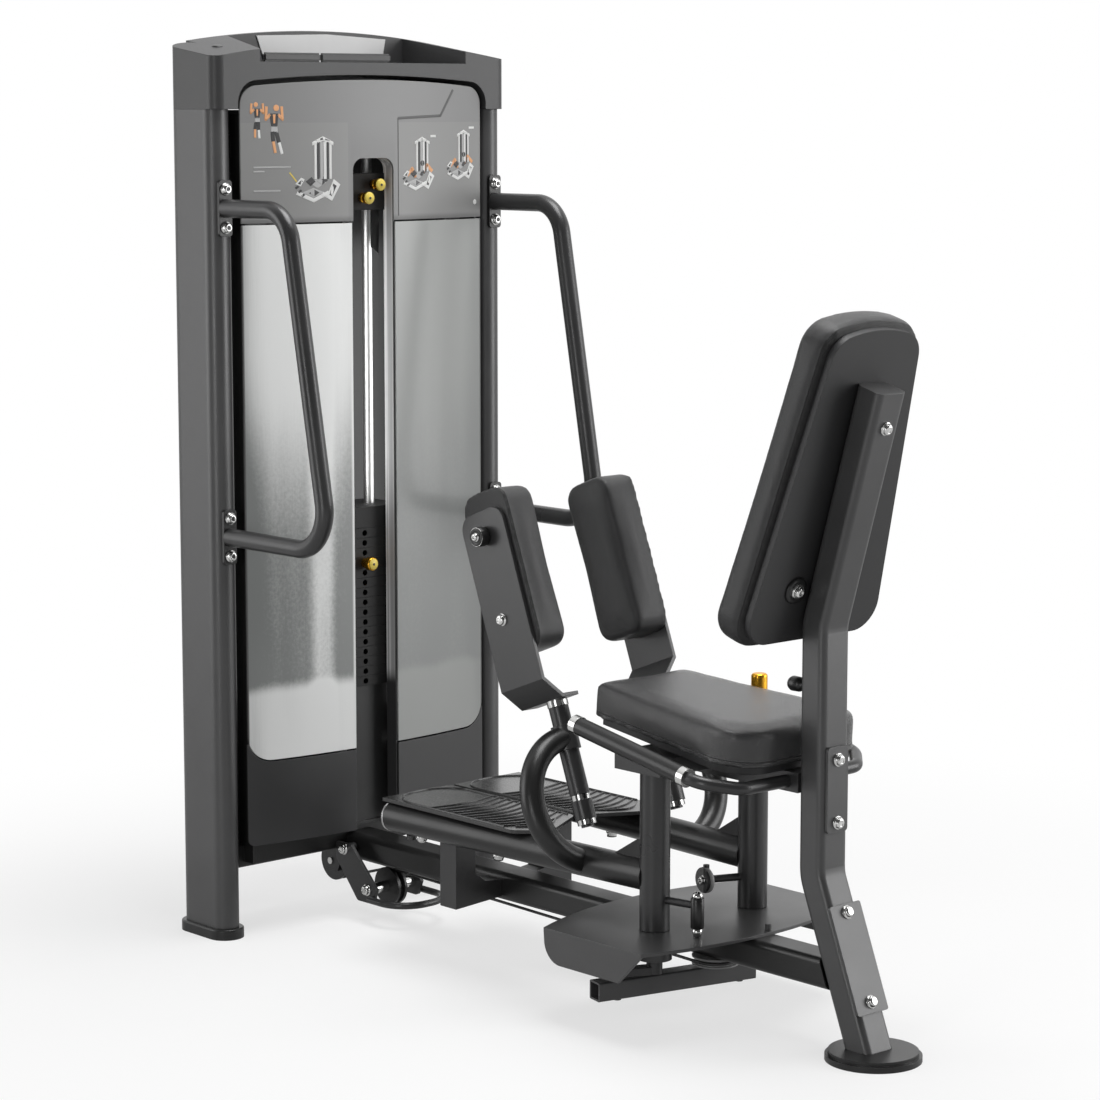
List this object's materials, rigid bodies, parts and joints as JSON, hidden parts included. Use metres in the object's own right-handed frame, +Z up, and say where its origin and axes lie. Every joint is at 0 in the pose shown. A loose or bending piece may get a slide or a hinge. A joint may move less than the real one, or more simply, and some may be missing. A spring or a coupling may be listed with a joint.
{
  "type": "hip abductor machine",
  "caption": "Seated hip abductor machine: weight tower with cap, panels and assist handles, swinging leg arms with knee pads and foot plates, seat, back pad and cable drive.",
  "frame": {"origin": "on the floor at the middle of the bounding box", "axes": "+X from the weight tower towards the seat, +Z up, Y side to side with the sitter's left at -Y"},
  "size_m": [1.3904, 0.648, 1.525],
  "materials": {
    "graphite_paint": "satin powder coat",
    "cap_plastic": "moulded satin",
    "header_plastic": "printed satin panel",
    "window_plastic": "smoked silver translucent panel",
    "skirt_plastic": "moulded satin",
    "bright_steel": "polished",
    "plate_iron": "black painted",
    "yellow_brass": "polished yellow",
    "wheel_plastic": "moulded black",
    "wire_rope": "coated wire rope",
    "tread_rubber": "ribbed tread",
    "grip_rubber": "smooth grip",
    "pad_vinyl": "charcoal vinyl",
    "pad_board": "black moulded back"
  },
  "bodies": {
    "frame": {"left_upright": "graphite_paint", "right_upright": "graphite_paint", "upright_feet": "graphite_paint", "cross_beams": "graphite_paint", "main_beam": "graphite_paint", "pulley_brackets": "graphite_paint", "base_plate": "graphite_paint", "seat_frame": "graphite_paint", "seat_handles": "graphite_paint", "rear_upright": "graphite_paint", "rear_foot": "graphite_paint", "rear_joint_plates": "graphite_paint", "arm_rests": "graphite_paint", "left_assist_handle": "graphite_paint", "right_assist_handle": "graphite_paint", "rear_shroud": "graphite_paint", "stack_base": "graphite_paint", "addon_block": "graphite_paint", "slot_channel": "graphite_paint", "tower_cap": "cap_plastic", "header_panel": "header_plastic", "side_windows": "window_plastic", "lower_skirts": "skirt_plastic", "guide_rods": "bright_steel", "handle_mounts": "bright_steel", "grip_collars": "bright_steel", "frame_bolts": "bright_steel", "resting_plates": "plate_iron", "cable": "wire_rope", "stack_cable": "wire_rope", "seat_grips": "grip_rubber", "seat_pad": "pad_vinyl", "back_pad": "pad_vinyl", "pad_boards": "pad_board"},
    "left_arm": {"left_post": "graphite_paint", "left_arm_tube": "graphite_paint", "left_arm_loop": "graphite_paint", "left_shaft_sleeve": "graphite_paint", "left_foot_plate": "tread_rubber"},
    "right_arm": {"right_post": "graphite_paint", "right_arm_tube": "graphite_paint", "right_arm_loop": "graphite_paint", "right_shaft_sleeve": "graphite_paint", "right_foot_plate": "tread_rubber"},
    "left_pad": {"left_pad_bracket": "graphite_paint", "left_pad_fittings": "bright_steel", "left_knee_pad": "pad_vinyl"},
    "right_pad": {"right_pad_bracket": "graphite_paint", "right_pad_fittings": "bright_steel", "right_knee_pad": "pad_vinyl"},
    "carriage": {"stack_carriage": "plate_iron"},
    "pin": {"selector_pin": "yellow_brass"},
    "upper_knob": {"upper_addon_knob": "yellow_brass"},
    "lower_knob": {"lower_addon_knob": "yellow_brass"},
    "top_wheel": {"top_pulley": "wheel_plastic"},
    "rear_wheel": {"rear_pulley": "wheel_plastic"},
    "idler_wheel": {"idler_pulley": "wheel_plastic"},
    "centre_wheel": {"centre_pulley": "wheel_plastic"},
    "link": {"cross_link": "graphite_paint"},
    "start_pull": {"start_pin": "yellow_brass"}
  },
  "joints": [
    {"name": "left_arm_swing", "type": "hinge", "parent": "frame", "child": "left_arm", "pos_m": [0.26675, -0.107, 0.23], "axis": [0, 0, 1], "range_deg": [0, 50]},
    {"name": "right_arm_swing", "type": "hinge", "parent": "frame", "child": "right_arm", "pos_m": [0.26675, 0.107, 0.23], "axis": [0, 0, -1], "range_deg": [0, 50]},
    {"name": "stack_lift", "type": "slide", "parent": "frame", "child": "carriage", "axis": [0, 0, 1], "range_m": [0, 0.065], "deforming": ["stack_cable"]},
    {"name": "left_pad_turn", "type": "hinge", "parent": "left_arm", "child": "left_pad", "pos_m": [0.05375, -0.0975, 0.415], "axis": [0.3551, 0, -0.9348], "range_deg": [0, 180]},
    {"name": "right_pad_turn", "type": "hinge", "parent": "right_arm", "child": "right_pad", "pos_m": [0.05375, 0.0975, 0.415], "axis": [-0.3551, 0, 0.9348], "range_deg": [0, 180]},
    {"name": "selector_pin_pull", "type": "slide", "parent": "carriage", "child": "pin", "axis": [1, 0, 0], "range_m": [0, 0.06]},
    {"name": "upper_knob_pull", "type": "slide", "parent": "frame", "child": "upper_knob", "axis": [1, 0, 0], "range_m": [0, 0.012]},
    {"name": "lower_knob_pull", "type": "slide", "parent": "frame", "child": "lower_knob", "axis": [1, 0, 0], "range_m": [0, 0.012]},
    {"name": "start_pin_pull", "type": "slide", "parent": "frame", "child": "start_pull", "axis": [0, 0, 1], "range_m": [0, 0.02]},
    {"name": "cross_link_turn", "type": "hinge", "parent": "left_arm", "child": "link", "pos_m": [0.24139, -0.16138, 0.06], "axis": [0, 0, 1], "range_deg": [-24, 0]},
    {"name": "top_pulley_turn", "type": "hinge", "parent": "frame", "child": "top_wheel", "pos_m": [-0.65075, 0, 1.4], "axis": [0, -1, 0], "range_deg": [0, 114]},
    {"name": "rear_pulley_turn", "type": "hinge", "parent": "frame", "child": "rear_wheel", "pos_m": [-0.65075, 0, 0.076], "axis": [0, -1, 0], "range_deg": [0, 114]},
    {"name": "idler_pulley_turn", "type": "hinge", "parent": "frame", "child": "idler_wheel", "pos_m": [-0.50325, 0, 0.056], "axis": [0, 1, 0], "range_deg": [0, 123]},
    {"name": "centre_pulley_turn", "type": "hinge", "parent": "frame", "child": "centre_wheel", "pos_m": [0.29175, 0, 0.086], "axis": [0, 0, 1], "range_deg": [0, 111]}
  ],
  "couplings": [
    {"joint": "right_arm_swing", "follows": "left_arm_swing", "ratio": 1},
    {"joint": "stack_lift", "follows": "left_arm_swing", "m_per_rad": 0.0735},
    {"joint": "cross_link_turn", "follows": "left_arm_swing", "ratio": -0.46671},
    {"joint": "top_pulley_turn", "follows": "left_arm_swing", "ratio": 2.2615},
    {"joint": "rear_pulley_turn", "follows": "left_arm_swing", "ratio": 2.2615},
    {"joint": "idler_pulley_turn", "follows": "left_arm_swing", "ratio": 2.45},
    {"joint": "centre_pulley_turn", "follows": "left_arm_swing", "ratio": 2.194}
  ]
}
